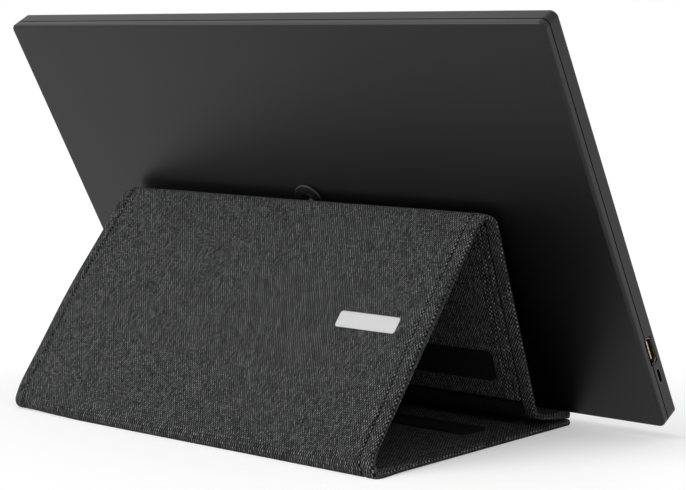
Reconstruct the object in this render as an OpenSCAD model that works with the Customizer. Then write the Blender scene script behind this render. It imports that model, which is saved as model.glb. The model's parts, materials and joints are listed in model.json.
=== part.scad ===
// Portable monitor standing in its fabric sleeve, which is folded into a triangular stand.
// The sleeve is one long pocket with stiff boards: base, rear panel, lean panel and toe flap.
// The monitor's lower edge stands on the toe flap and its back leans on the top fold.
// +X is the width, -Y is the side that the screen faces, +Z is up, and z = 0 is the table.

/* [Monitor] */
// Width of the picture area, which is 16 wide to 9 high
picture_w = 344.2; // [300:0.1:380]
// Bezel beside the picture area
bezel_side = 7.9; // [7.2:0.1:14]
// Bezel above the picture area
bezel_top = 7; // [6:0.5:12]
// Bezel below the picture area
bezel_foot = 25.4; // [22:0.2:36]
// Thickness from the back face to the front of the bezel
mon_t = 12; // [12:0.1:13.5]
// Radius of the four corners, seen from the back
corner_r = 3.6; // [3.4:0.2:6]
// Rounding of the rear cover's edge
edge_r = 1.5; // [1:0.1:1.7]
// Depth of the rear cover, from the back face to the seam
seam_t = 4.5; // [4.3:0.1:5]
// Open seam between the rear cover and the housing
seam_gap = 0.15; // [0.1:0.05:0.3]
// Wall of the moulded housing and cover
wall_t = 1.6; // [1.2:0.1:1.8]
// Thickness of the front bezel
bezel_t = 0.8; // [0.6:0.1:1.2]
// Border of the display panel around the picture area
panel_border = 2.4; // [1.5:0.1:3]
// Extra depth of the display panel's lower border
panel_foot = 7; // [4:0.5:10]

/* [Display layers] */
// Steel tray at the back of the display panel
tray_t = 0.15; // [0.1:0.05:0.3]
// Reflector sheet
reflector_t = 0.1; // [0.1:0.05:0.2]
// Light guide
guide_t = 0.5; // [0.4:0.05:0.6]
// Diffuser and prism films, as one stack
film_t = 0.2; // [0.15:0.05:0.3]
// Liquid crystal cell, both glasses
cell_t = 0.6; // [0.4:0.1:0.8]
// Adhesive frame between cell and bezel
tape_t = 0.1; // [0.1:0.05:0.2]
// Anti-glare film on the cell
glare_t = 0.2; // [0.1:0.05:0.3]

/* [Tripod socket] */
// Height of the socket's centre above the line where its pad leans on the top fold
socket_up = 2; // [0:0.2:5]
// Radius of the raised round pad
pad_r = 9.5; // [8.5:0.1:11]
// Height of the raised round pad
pad_h = 2; // [1:0.1:2.5]
// Radius of the threaded hole, at the thread's crests
thread_r = 2.55; // [2.4:0.05:3]
// Outer radius of the metal insert
insert_r = 4.5; // [4:0.1:5]
// Radius of the insert's inner flange
flange_r = 6.5; // [6:0.1:7]
// Thickness of the insert's inner flange
flange_t = 1.2; // [0.8:0.1:1.6]
// Depth that the moulded column reaches in from the back face
column_t = 5; // [4.6:0.1:6]

/* [Sockets and board] */
// Thickness of the circuit boards
board_t = 1; // [0.8:0.1:1.2]
// Front face of the boards, measured from the back face
board_face_t = 4.3; // [4.1:0.05:4.3]
// Main board width
board_w = 76; // [66:1:90]
// Main board height
board_h = 62; // [58:1:80]
// Lower edge of the main board above the monitor's lower edge
board_s = 8; // [6:0.5:12]
// Width of the video socket's opening
video_w = 14; // [13.9:0.1:14.1]
// Height of the video socket's opening
video_h = 4.45; // [4.3:0.05:4.5]
// Centre of the video socket above the monitor's lower edge
video_s = 42.5; // [40:0.5:50]
// Depth of the video socket
video_d = 9.6; // [8:0.1:12]
// Width of the oval socket's opening
oval_w = 8.34; // [8.3:0.02:8.4]
// Height of the oval socket's opening
oval_h = 2.56; // [2.5:0.02:2.6]
// Centre of the oval socket above the monitor's lower edge
oval_s = 26.8; // [22:0.2:29]
// Depth of the oval socket
oval_d = 7.4; // [6.6:0.1:9]
// Sheet thickness of the socket shells
shell_t = 0.3; // [0.2:0.05:0.35]

/* [Buttons] */
// Length of a button along the side
button_l = 9; // [7:0.5:11]
// Height of a button across the side
button_h = 2.6; // [2:0.1:3]
// Travel of a button
button_travel = 0.4; // [0.3:0.05:0.5]
// Lowest button's centre above the monitor's lower edge
button_s = 34; // [28:1:44]
// Distance between button centres
button_pitch = 15; // [13:0.5:18]
// Centre of the buttons, measured from the back face
button_t = 7.4; // [7.2:0.1:7.8]

/* [Sleeve] */
// Width of the sleeve
sleeve_w = 256; // [230:1:280]
// Sideways place of the sleeve's middle
sleeve_x = 3.5; // [-6:0.5:8]
// Thickness of each panel
panel_t = 3; // [2.8:0.1:3.6]
// Thickness of the outer cloth with its backing
cloth_t = 0.8; // [0.6:0.1:1]
// Thickness of the stiffening boards
stiff_t = 1; // [0.8:0.1:1.1]
// Thickness of the pocket's lining
lining_t = 0.3; // [0.2:0.05:0.4]
// Width of the sewn edge at both sides
welt_w = 7; // [4:0.5:10]
// Radius of the top fold, outside
apex_r = 6; // [4.5:0.5:8]
// Radius of the rear foot, outside
foot_r = 3.8; // [3.7:0.1:5]
// Radius of the crease between lean panel and toe flap
crease_r = 2.5; // [1.5:0.5:4]
// Length of the rear panel, between the fold centres
rear_len = 134; // [128:1:142]
// Length of the lean panel, from the top fold to the toe crease
lean_len = 104; // [98:1:110]
// Length of the base, from the rear foot's centre to its free end
base_len = 153; // [146:1:158]
// Length of the toe flap
toe_len = 31.3; // [27:0.5:36]
// Slope of the toe flap
toe_slope = 7; // [4:0.5:10]
// Unstiffened cloth beside each fold, before a board's panel starts
fold_slack = 1; // [0.8:0.1:2]
// How far the monitor's lower edge stands in from the flap's end
edge_inset = 2.4; // [1:0.2:8]

/* [Fastening strips] */
// Thickness of the hook and loop strips
strip_t = 0.8; // [0.6:0.1:1]
// Distance of the strips' ends from the sleeve's sides
strip_inset = 19; // [14:1:30]
// Corner radius of the strips
strip_r = 4; // [2:0.5:6]
// Width of the strip on the lean panel
lean_strip_w = 16.5; // [12:0.5:20]
// Distance of the lean panel's strip from the toe crease
lean_strip_up = 17.5; // [16:0.5:26]
// Width of the strip on the base
base_strip_w = 20; // [14:0.5:26]
// Distance of the base's strip from the base's free end
base_strip_in = 47; // [42:0.5:60]
// Width of the strips that hold the toe flap down
toe_strip_w = 11; // [8:0.5:12]
// Distance of the toe strips from the flap's end
toe_strip_in = 15.5; // [15:0.5:17]
// Width of the hem at the pocket's mouth
hem_w = 6; // [4:0.5:8]
// Distance of the hem from the toe crease
hem_up = 8; // [6:0.5:9]
// Extra thickness of the hem
hem_rise = 0.5; // [0.2:0.1:0.8]

/* [Label] */
// Width of the plain printed label
label_w = 37; // [20:1:60]
// Height of the plain printed label
label_h = 9; // [6:1:16]
// Distance of the label's middle from the sleeve's right side
label_in = 43; // [35:1:70]
// Height of the label's lower edge above the rear foot, along the panel
label_up = 66; // [50:1:100]
// Thickness of the label
label_t = 0.15; // [0.1:0.05:0.3]

/* [Clearances] */
// Gap between pieces that only touch
touch_gap = 0.3; // [0.2:0.05:0.4]
// Gap around a sliding button
slide_gap = 0.25; // [0.2:0.05:0.3]
// Gap around a piece that drops into a pocket of another
fit_gap = 0.1; // [0.05:0.05:0.2]

/* [Hidden] */
$fn = 48;
CLOTH = "#47484c";
LINING = "#26262a";
SHELL = "#2f3032";
STEEL = "#b9bbbd";
BOARD = "#6b6258";

// The stand in its side view: points are [y, z], and angles are those of outward normals.
base_end = [0, 0];
foot_c = [base_len, foot_r];
toe_end_z = panel_t + touch_gap + panel_t * cos(toe_slope);
crease_p = [toe_len * cos(toe_slope), toe_end_z + toe_len * sin(toe_slope)];

function span(a, b) = norm(b - a);
function aim(a, b) = atan2(b[1] - a[1], b[0] - a[0]);
function out(a) = [cos(a), sin(a)];

// The top fold lies where the rear panel and the lean panel meet.
apex_reach = sqrt(lean_len * lean_len + apex_r * apex_r);
foot_span = span(foot_c, crease_p);
foot_turn = acos((rear_len * rear_len + foot_span * foot_span - apex_reach * apex_reach)
    / (2 * rear_len * foot_span));
apex_c = foot_c + rear_len * out(aim(foot_c, crease_p) - foot_turn);

rear_n = aim(foot_c, apex_c) - acos((foot_r - apex_r) / rear_len);
rear_p = foot_c + foot_r * out(rear_n);
rear_run = sqrt(rear_len * rear_len - pow(apex_r - foot_r, 2));
lean_n = aim(crease_p, apex_c) + asin(apex_r / apex_reach) + 90;
lean_p = apex_c + apex_r * out(lean_n);
toe_n = 90 + toe_slope;
crease_turn = lean_n - toe_n;
crease_cut = crease_r * tan(crease_turn / 2);
crease_c = crease_p + (crease_r / cos(crease_turn / 2)) * out((lean_n + toe_n) / 2);
toe_axis = crease_c - (crease_r + panel_t) * out((lean_n + toe_n) / 2);

// The monitor's rear lower edge stands on the toe flap, and its pad leans on the top fold.
edge_y = edge_inset;
edge_on_toe = toe_end_z + edge_inset * tan(toe_slope);
lean_guess = aim([edge_y, edge_on_toe], apex_c);
edge_drop = edge_r * (sin(90 - lean_guess) + sin(lean_guess) - 1);
edge_z = edge_on_toe + touch_gap - edge_drop * 0.9;
fold_span = span([edge_y, edge_z], apex_c);
pad_reach = apex_r + pad_h + touch_gap;
mon_lean = 90 - aim([edge_y, edge_z], apex_c) - asin(pad_reach / fold_span);
socket_s = sqrt(fold_span * fold_span - pad_reach * pad_reach) + socket_up;

// The whole part is centred over the origin.
front_y = edge_y - mon_t * cos(mon_lean);
centre_y = (front_y + foot_c[0] + foot_r) / 2;

// Depths inside the monitor, measured from the back face.
bezel_at = mon_t - bezel_t;
cell_at = bezel_at - tape_t - cell_t;
film_at = cell_at - film_t;
guide_at = film_at - guide_t;
reflector_at = guide_at - reflector_t;
tray_at = reflector_at - tray_t;
video_t = board_face_t + fit_gap / 2 + shell_t + video_h / 2;
oval_t = tray_at - fit_gap - shell_t - oval_h / 2 - 0.15;
mon_w = picture_w + 2 * bezel_side;
picture_h = picture_w * 9 / 16;
mon_h = bezel_foot + picture_h + bezel_top;
picture_s = bezel_foot;
panel_w = picture_w + 2 * panel_border;
panel_s = picture_s - panel_foot;
panel_h = picture_h + panel_foot + panel_border;
wall_in = mon_w / 2 - wall_t;
board_x = -wall_in + 0.6;
board_back = board_face_t - board_t;
port_x = -mon_w / 2 + 0.35;
drive_in = 1;
drive_s = panel_s + drive_in;
drive_h = 9;
drive_w = panel_w * 0.72;
drive_t = 0.7;
led_count = 36;
led_w = 3.4;
led_h = 1.2;
led_margin = 12;
led_strip_h = 1.6;
flex_count = 8;
flex_w = 22;
flex_t = 0.12;
flex_margin = 6;
flex_out = 0.5;
flex_lap = 3;
ribbon_w = 10;
ribbon_t = 0.2;
ribbon_in = 14;
can_w = 26;
can_t = 2.4;
can_at = [board_w - ribbon_in - can_w / 2 - 3, board_h / 2];
chip_w = 16;
chip_t = 1.2;
pad_w = 20;
small_chips = [[19, board_h - 12, 7, 1], [16, 6.5, 5, 1], [27, 6.5, 7, 2.2]];
boss_r = 2.6;
screw_r = 1;
screw_head_r = 1.9;
screw_head_t = 0.7;
screw_len = 3;
boss_seats = [[8, 5], [8, board_h - 5], [board_w - 6, 5], [board_w - 6, board_h - 5]];
button_flange = 1;
flange_x = wall_in - slide_gap;
switch_x = flange_x - 0.7 - button_travel - 0.15;
button_board_w = 9;
button_board_end = 9;
button_board_h = 2 * (button_pitch + button_board_end);
mid_t = cloth_t + stiff_t;
end_cap = 2;
board_inset = 1;
free_slack = fold_slack - touch_gap;
toe_start = crease_cut + fold_slack;
lean_end = lean_len - crease_cut - fold_slack;
strip_w = sleeve_w - 2 * strip_inset;

echo(mon_lean = mon_lean, centre_y = centre_y, edge = [edge_y, edge_z]);
echo(apex_c = apex_c, foot_c = foot_c, toe_axis = toe_axis, rear_n = rear_n, lean_n = lean_n);
echo(video_t = video_t, oval_t = oval_t, switch_x = switch_x);
echo(socket_s = socket_s, mon_w = mon_w, mon_h = mon_h);

// Places a piece in the monitor: x across, -y into the case from its back face, z up the back.
module in_monitor() {
    translate([0, edge_y - centre_y, edge_z]) rotate([-mon_lean, 0, 0]) children();
}

// Places a piece on a panel: y = 0 is the panel's outer face, and z runs along the panel.
module on_panel(p, angle) {
    translate([sleeve_x, p[0] - centre_y, p[1]]) rotate([angle, 0, 0]) children();
}

module on_rear() { on_panel(rear_p, rear_n) children(); }
module on_lean() { on_panel(lean_p, lean_n) children(); }
module on_base() { on_panel(base_end, -90) children(); }
module on_toe() { on_panel(crease_p, toe_n) children(); }

// A box in the monitor, from its sides, its height range and its depth range.
module block(x0, x1, s0, s1, t0, t1) {
    translate([x0, -t1, s0]) cube([x1 - x0, t1 - t0, s1 - s0]);
}

// A rectangle with round corners that stands on y = 0.
module round_rect(w, h, r) {
    translate([-w / 2 + r, 0]) square([w - 2 * r, h]);
    translate([-w / 2, r]) square([w, h - 2 * r]);
    for (x = [-w / 2 + r, w / 2 - r], y = [r, h - r]) translate([x, y]) circle(r);
}

// A plate with round corners in the monitor, between two depths.
module round_plate(w, s, h, r, t0, t1) {
    translate([0, -t0, s]) rotate([90, 0, 0]) linear_extrude(t1 - t0) round_rect(w, h, r);
}

// A slot outline with round ends, long along x.
module oval(w, h) {
    square([w - h, h], center = true);
    for (x = [-1, 1]) translate([x * (w - h) / 2, 0]) circle(h / 2);
}

// The video socket's outline: its lower corners are cut at a slant.
module video_outline(w, h) {
    polygon([[-w / 2, h / 2], [w / 2, h / 2], [w / 2, -h / 8], [w / 2 - h * 0.3, -h / 2],
        [-w / 2 + h * 0.3, -h / 2], [-w / 2, -h / 8]]);
}

// Extrudes an outline sideways through the monitor's side, its width lying up the side.
module sideways(x, s, t, run) {
    translate([x, -t, s]) rotate([0, 90, 0]) linear_extrude(run) children();
}

module case_body() {
    round_plate(mon_w, 0, mon_h, corner_r, edge_r, seam_t);
    round_plate(mon_w - 2 * edge_r, edge_r, mon_h - 2 * edge_r, corner_r - edge_r, 0, seam_t);
    for (s = [edge_r, mon_h - edge_r]) translate([-mon_w / 2 + corner_r, -edge_r, s])
        rotate([0, 90, 0]) cylinder(r = edge_r, h = mon_w - 2 * corner_r);
    for (x = [-1, 1]) translate([x * (mon_w / 2 - edge_r), -edge_r, corner_r])
        cylinder(r = edge_r, h = mon_h - 2 * corner_r);
    for (x = [-1, 1], s = [corner_r, mon_h - corner_r])
        translate([x * (mon_w / 2 - corner_r), -edge_r, s]) rotate([90, 0, 0])
            rotate_extrude() translate([corner_r - edge_r, 0]) circle(edge_r);
}

module rear_cover() color(SHELL) in_monitor() difference() {
    union() {
        difference() {
            case_body();
            round_plate(mon_w - 2 * wall_t, wall_t, mon_h - 2 * wall_t, corner_r - wall_t,
                wall_t, seam_t + 1);
        }
        translate([0, 0, socket_s]) rotate([90, 0, 0]) rotate_extrude()
            polygon([[0, -pad_h], [pad_r - 0.6, -pad_h], [pad_r, -pad_h + 0.6], [pad_r, 0.5], [flange_r, 0.5],
                [flange_r, column_t], [0, column_t]]);
        for (b = boss_seats) translate([board_x + b[0], -board_back, board_s + b[1]])
            rotate([-90, 0, 0]) cylinder(r = boss_r, h = board_back - wall_t + 0.3);
        for (s = [-1, 1]) translate([wall_in - button_board_w / 2 - 1, -board_back,
            button_s + button_pitch + s * (button_board_h / 2 - 3)])
            rotate([-90, 0, 0]) cylinder(r = 2, h = board_back - wall_t + 0.3);
    }
    translate([0, pad_h + 1, socket_s]) rotate([90, 0, 0])
        cylinder(r = insert_r + fit_gap / 2, h = column_t + pad_h + 2);
    for (b = boss_seats) translate([board_x + b[0], -board_face_t, board_s + b[1]])
        rotate([-90, 0, 0]) cylinder(r = screw_r + fit_gap / 2, h = screw_len + 0.2);
    video_notch();
}

// The opening for the video socket: it runs back over the seam into the rear cover's rim.
module video_notch() {
    sideways(-mon_w / 2 - 1, video_s, video_t - 0.3, wall_t + 2)
        square([video_w + 2 * shell_t + 4 * fit_gap, video_h + 2 * shell_t + 2 * fit_gap + 0.6],
            center = true);
}

module front_housing() color(SHELL) in_monitor() difference() {
    round_plate(mon_w, 0, mon_h, corner_r, seam_t + seam_gap, bezel_at);
    round_plate(mon_w - 2 * wall_t, wall_t, mon_h - 2 * wall_t, corner_r - wall_t, seam_t - 1, bezel_at + 1);
    video_notch();
    sideways(-mon_w / 2 - 1, oval_s, oval_t, wall_t + 2)
        oval(oval_w + 2 * shell_t + 2 * fit_gap, oval_h + 2 * shell_t + 2 * fit_gap);
    for (i = [0 : 2]) sideways(wall_in - 1, button_s + i * button_pitch, button_t, wall_t + 2)
        oval(button_l + 2 * slide_gap, button_h + 2 * slide_gap);
}

module front_bezel() color("#1d1d1f") in_monitor() difference() {
    round_plate(mon_w, 0, mon_h, corner_r, bezel_at, mon_t);
    block(-picture_w / 2 - 0.4, picture_w / 2 + 0.4, picture_s - 0.4, picture_s + picture_h + 0.4,
        bezel_at - 1, mon_t + 1);
}

module screen_film() color("#141416") in_monitor()
    block(-picture_w / 2 - 0.2, picture_w / 2 + 0.2, picture_s - 0.2, picture_s + picture_h + 0.2,
        cell_at + cell_t, cell_at + cell_t + glare_t);

module panel_sheet(t0, t1, inset) {
    block(-panel_w / 2 + inset, panel_w / 2 - inset, panel_s + inset, panel_s + panel_h - inset, t0, t1);
}

module display_cell() color("#222a33") in_monitor() panel_sheet(cell_at, cell_at + cell_t, 0);
module display_films() color("white") in_monitor() panel_sheet(film_at, cell_at, 0.6);

module light_guide() color("#e6f0f2") in_monitor() difference() {
    panel_sheet(guide_at, film_at, 0.6);
    block(-panel_w, panel_w, 0, panel_s + drive_in + led_strip_h + led_h + 2 * fit_gap,
        guide_at - 1, film_at + 1);
}

module reflector_sheet() color("#f4f4f4") in_monitor() panel_sheet(reflector_at, guide_at, 0.6);

module light_strip() color("#e8dfa8") in_monitor() {
    led_s = panel_s + drive_in + led_strip_h;
    block(-panel_w / 2 + led_margin / 3, panel_w / 2 - led_margin / 3, panel_s + drive_in, led_s,
        guide_at, film_at);
    for (i = [0 : led_count - 1]) {
        x = -panel_w / 2 + led_margin + i * (panel_w - 2 * led_margin - led_w) / (led_count - 1);
        block(x, x + led_w, led_s, led_s + led_h, guide_at, film_at);
    }
}

module panel_tray() color(STEEL) in_monitor() panel_sheet(tray_at, reflector_at, 0);

module panel_tape() color("black") in_monitor() difference() {
    panel_sheet(cell_at + cell_t, bezel_at, 0);
    block(-picture_w / 2 - 0.9, picture_w / 2 + 0.9, picture_s - 0.9, picture_s + picture_h + 0.9,
        cell_at, bezel_at + 1);
}

module drive_board() color("#1f4d33") in_monitor()
    block(-drive_w / 2, drive_w / 2, drive_s, drive_s + drive_h, tray_at - drive_t, tray_at);

module drive_flexes() color("#8a5a22") in_monitor() for (i = [0 : flex_count - 1]) {
    x = -drive_w / 2 + flex_margin + i * (drive_w - 2 * flex_margin - flex_w) / (flex_count - 1);
    block(x, x + flex_w, panel_s - flex_out, panel_s, tray_at - drive_t, cell_at + cell_t / 2);
    block(x, x + flex_w, panel_s - flex_out, drive_s + flex_lap, tray_at - drive_t - flex_t,
        tray_at - drive_t);
}

module main_board() color("#17432d") in_monitor() difference() {
    block(board_x, board_x + board_w, board_s, board_s + board_h, board_back, board_face_t);
    for (b = boss_seats) translate([board_x + b[0], -board_face_t - 1, board_s + b[1]])
        rotate([-90, 0, 0]) cylinder(r = screw_r + 0.15, h = board_t + 2);
}

module board_screws() color(STEEL) in_monitor() for (b = boss_seats)
    translate([board_x + b[0], -board_face_t - screw_head_t, board_s + b[1]]) rotate([-90, 0, 0]) {
        cylinder(r = screw_head_r, h = screw_head_t);
        cylinder(r = screw_r, h = screw_head_t + screw_len);
    }

// A square block on the main board, from its middle, its size and its depth range.
module board_square(middle, size, t0, t1) {
    x = board_x + middle[0];
    s = board_s + middle[1];
    block(x - size / 2, x + size / 2, s - size / 2, s + size / 2, t0, t1);
}

module shield_can() color(STEEL) in_monitor() difference() {
    board_square(can_at, can_w, board_face_t, board_face_t + can_t);
    board_square(can_at, can_w - 2 * shell_t, board_face_t - 1, board_face_t + can_t - shell_t);
}

module control_chips() color("#202022") in_monitor() {
    board_square(can_at, chip_w, board_face_t, board_face_t + chip_t);
    for (c = small_chips) board_square([c[0], c[1]], c[2], board_face_t, board_face_t + c[3]);
}

module thermal_pad() color("#6d8f9d") in_monitor() board_square(can_at, pad_w, wall_t, board_back);

module panel_ribbon() color("#c9c9c4") in_monitor() {
    x = board_x + board_w - ribbon_in;
    bend_s = drive_s + drive_h + 2;
    plug_t = board_face_t + 1;
    drive_back = tray_at - drive_t;
    block(x, x + ribbon_w, drive_s + drive_h - 3.5, bend_s, drive_back - ribbon_t, drive_back);
    block(x, x + ribbon_w, bend_s, bend_s + ribbon_t, plug_t - ribbon_t, drive_back);
    block(x, x + ribbon_w, bend_s, bend_s + 3, plug_t - ribbon_t, plug_t);
    block(x - 1, x + ribbon_w + 1, bend_s + 3, bend_s + 6, board_face_t, plug_t);
}

module video_socket_shell() color("#b99a52") in_monitor() {
    difference() {
        sideways(port_x, video_s, video_t, video_d)
            video_outline(video_w + 2 * shell_t, video_h + 2 * shell_t);
        sideways(port_x - 1, video_s, video_t, video_d + 1 - 1.6) video_outline(video_w, video_h);
    }
}

module video_socket_tongue() color("black") in_monitor() {
    block(port_x + 1.2, port_x + video_d - 1.6, video_s - 5.4, video_s + 5.4, video_t - 0.55, video_t + 0.55);
}

module oval_socket_shell() color(STEEL) in_monitor() {
    difference() {
        sideways(port_x, oval_s, oval_t, oval_d) oval(oval_w + 2 * shell_t, oval_h + 2 * shell_t);
        sideways(port_x - 1, oval_s, oval_t, oval_d + 1 - 1) oval(oval_w, oval_h);
    }
    block(-wall_in + 1, port_x + oval_d, oval_s - 3, oval_s + 3, board_face_t, oval_t - oval_h / 2 - shell_t);
}

module oval_socket_tongue() color("black") in_monitor()
    block(port_x + 0.9, port_x + oval_d - 1, oval_s - 3.35, oval_s + 3.35, oval_t - 0.35, oval_t + 0.35);

module tripod_insert() color("#c8a85a") in_monitor() translate([0, pad_h - 0.15, socket_s])
    rotate([90, 0, 0]) difference() {
        union() {
            cylinder(r = insert_r, h = pad_h - 0.15 + column_t + flange_t);
            translate([0, 0, pad_h - 0.15 + column_t]) cylinder(r = flange_r, h = flange_t);
        }
        translate([0, 0, -1]) cylinder(r = thread_r, h = pad_h + column_t + flange_t + 2);
    }

module button_board() color("#17432d") in_monitor()
    block(wall_in - button_board_w - 1, wall_in - 1, button_s + button_pitch - button_board_h / 2,
        button_s + button_pitch + button_board_h / 2, board_back, board_face_t);

module button_switches() color("#333333") in_monitor() for (i = [0 : 2]) {
    s = button_s + i * button_pitch;
    block(switch_x - 3.4, switch_x - 0.5, s - 2.2, s + 2.2, board_face_t, button_t + 1.4);
    translate([switch_x - 0.6, -button_t, s]) rotate([0, 90, 0]) cylinder(r = 0.8, h = 0.6);
}

module side_button(i) in_monitor() {
    sideways(flange_x - 0.01, button_s + i * button_pitch, button_t, mon_w / 2 - flange_x + 0.01)
        oval(button_l, button_h);
    sideways(flange_x - 0.7, button_s + i * button_pitch, button_t, 0.7)
        oval(button_l + 2 * button_flange, button_h + 2 * button_flange);
}

module power_button() color("#3a3b3d") side_button(0);
module menu_up_button() color("#3a3b3d") side_button(1);
module menu_down_button() color("#3a3b3d") side_button(2);

// A panel's outer cloth: it wraps both sewn edges and leaves room for what lies inside.
module cloth_tray(z0, z1, cap0, cap1) {
    open0 = cap0 > 0 ? cap0 : -1;
    open1 = cap1 > 0 ? cap1 : -1;
    difference() {
        union() {
            translate([-sleeve_w / 2 + panel_t / 2, -panel_t, z0])
                cube([sleeve_w - panel_t, panel_t, z1 - z0]);
            for (x = [-1, 1]) translate([x * (sleeve_w - panel_t) / 2, -panel_t / 2, z0])
                cylinder(r = panel_t / 2, h = z1 - z0);
        }
        translate([-sleeve_w / 2 + welt_w, -panel_t - 1, z0 + open0])
            cube([sleeve_w - 2 * welt_w, panel_t + 1 - cloth_t, z1 - z0 - open0 - open1]);
    }
}

// A flat layer inside a panel, between its two sewn edges.
module layer(z0, z1, y0, y1) {
    translate([-sleeve_w / 2 + welt_w + fit_gap, -y1, z0])
        cube([sleeve_w - 2 * welt_w - 2 * fit_gap, y1 - y0, z1 - z0]);
}

// A hook or loop strip with round corners, lying on a panel's inner face.
module strip(z, w, y, t) {
    translate([0, -y, z]) rotate([90, 0, 0]) linear_extrude(t) round_rect(strip_w, w, strip_r);
}

// A folded stretch of cloth round the fold's own axis, from angle a0 to angle a1. It reaches
// past both angles by the two slack lengths, measured on its outer face.
module fold_band(c, inner, a0, a1, slack0, slack1) {
    outer = inner + panel_t;
    b0 = a0 - slack0 / outer * 180 / PI;
    b1 = a1 + slack1 / outer * 180 / PI;
    translate([sleeve_x - sleeve_w / 2, c[0] - centre_y, c[1]]) rotate([90, 0, 90])
        linear_extrude(sleeve_w) intersection() {
            difference() {
                circle(outer);
                circle(inner);
            }
            polygon([[0, 0], 3 * outer * out(b0), 3 * outer * out((b0 + b1) / 2), 3 * outer * out(b1)]);
        }
}

module toe_outer_cloth() color(CLOTH) on_toe() cloth_tray(toe_start, toe_len, 0, end_cap);
module toe_board() color(BOARD) on_toe()
    layer(toe_start + board_inset, toe_len - end_cap - fit_gap, cloth_t, mid_t);
module toe_inner_cloth() color(CLOTH) on_toe() layer(toe_start, toe_len - end_cap - fit_gap, mid_t, panel_t);
module toe_hook_strip() color(LINING) on_toe()
    strip(toe_len - toe_strip_in - toe_strip_w, toe_strip_w, panel_t, strip_t);
module toe_crease_cloth() color(CLOTH)
    fold_band(crease_c, crease_r, toe_n + 180, lean_n + 180, fold_slack, free_slack);

module lean_outer_cloth() color(CLOTH) on_lean() cloth_tray(fold_slack, lean_end, 0, 0);
module lean_board() color(BOARD) on_lean()
    layer(fold_slack + board_inset, lean_end - board_inset, cloth_t, mid_t);
module lean_lining() color(LINING) on_lean() layer(fold_slack, lean_end, mid_t, mid_t + lining_t);
module lean_inner_cloth() color(CLOTH) on_lean()
    layer(fold_slack, lean_len - hem_up - hem_w, mid_t + lining_t, panel_t);
module lean_hem() color(CLOTH) on_lean()
    layer(lean_len - hem_up - hem_w, lean_len - hem_up, mid_t + lining_t, panel_t + hem_rise);
module lean_loop_strip() color(LINING) on_lean()
    strip(lean_len - lean_strip_up - lean_strip_w, lean_strip_w, panel_t, strip_t);

module apex_fold_cloth() color(CLOTH)
    fold_band(apex_c, apex_r - panel_t, rear_n, lean_n, free_slack, fold_slack);

module rear_outer_cloth() color(CLOTH) on_rear() cloth_tray(fold_slack, rear_run - fold_slack, 0, 0);
module rear_board() color(BOARD) on_rear()
    layer(fold_slack + board_inset, rear_run - fold_slack - board_inset, cloth_t, mid_t);
module rear_lining() color(LINING) on_rear()
    layer(fold_slack, rear_run - fold_slack, mid_t, mid_t + lining_t);
module rear_inner_cloth() color(CLOTH) on_rear()
    layer(fold_slack, rear_run - fold_slack, mid_t + lining_t, panel_t);
module rear_label() color("silver") on_rear() translate([-sleeve_w / 2 + label_in, label_t, label_up])
    rotate([90, 0, 0]) linear_extrude(label_t) round_rect(label_w, label_h, 1.5);

module foot_fold_cloth() color(CLOTH)
    fold_band(foot_c, foot_r - panel_t, -90, rear_n, fold_slack, free_slack);

module base_outer_cloth() color(CLOTH) on_base() cloth_tray(0, base_len - fold_slack, end_cap, 0);
module base_board() color(BOARD) on_base()
    layer(end_cap + fit_gap, base_len - fold_slack - board_inset, cloth_t, mid_t);
module base_lining() color(LINING) on_base()
    layer(end_cap + fit_gap, base_len - fold_slack, mid_t, mid_t + lining_t);
module base_inner_cloth() color(CLOTH) on_base()
    layer(end_cap + fit_gap, base_len - fold_slack, mid_t + lining_t, panel_t);
module base_loop_strip() color(LINING) on_base() strip(base_strip_in, base_strip_w, panel_t, strip_t);
module base_end_strip() color(LINING) on_base() strip(toe_strip_in, toe_strip_w, panel_t, strip_t);

rear_cover();
front_housing();
front_bezel();
screen_film();
display_cell();
display_films();
light_guide();
reflector_sheet();
light_strip();
panel_tray();
panel_tape();
drive_board();
drive_flexes();
main_board();
board_screws();
shield_can();
control_chips();
thermal_pad();
panel_ribbon();
video_socket_shell();
video_socket_tongue();
oval_socket_shell();
oval_socket_tongue();
tripod_insert();
button_board();
button_switches();
power_button();
menu_up_button();
menu_down_button();
toe_outer_cloth();
toe_board();
toe_inner_cloth();
toe_hook_strip();
toe_crease_cloth();
lean_outer_cloth();
lean_board();
lean_lining();
lean_inner_cloth();
lean_hem();
lean_loop_strip();
apex_fold_cloth();
rear_outer_cloth();
rear_board();
rear_lining();
rear_inner_cloth();
rear_label();
foot_fold_cloth();
base_outer_cloth();
base_board();
base_lining();
base_inner_cloth();
base_loop_strip();
base_end_strip();
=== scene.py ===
# %% [markdown]
# # A portable monitor that stands in its folded sleeve
# The CAD model is loaded first and stays as it is: every size below is read from it, so each
# Blender piece lands where the construction says. Units are metres. +X is the monitor's width,
# -Y is the side that the screen faces, and +Z is up.

# %% Load the frame
import json
import math

import bpy
import numpy as np
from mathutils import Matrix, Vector, noise


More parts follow.
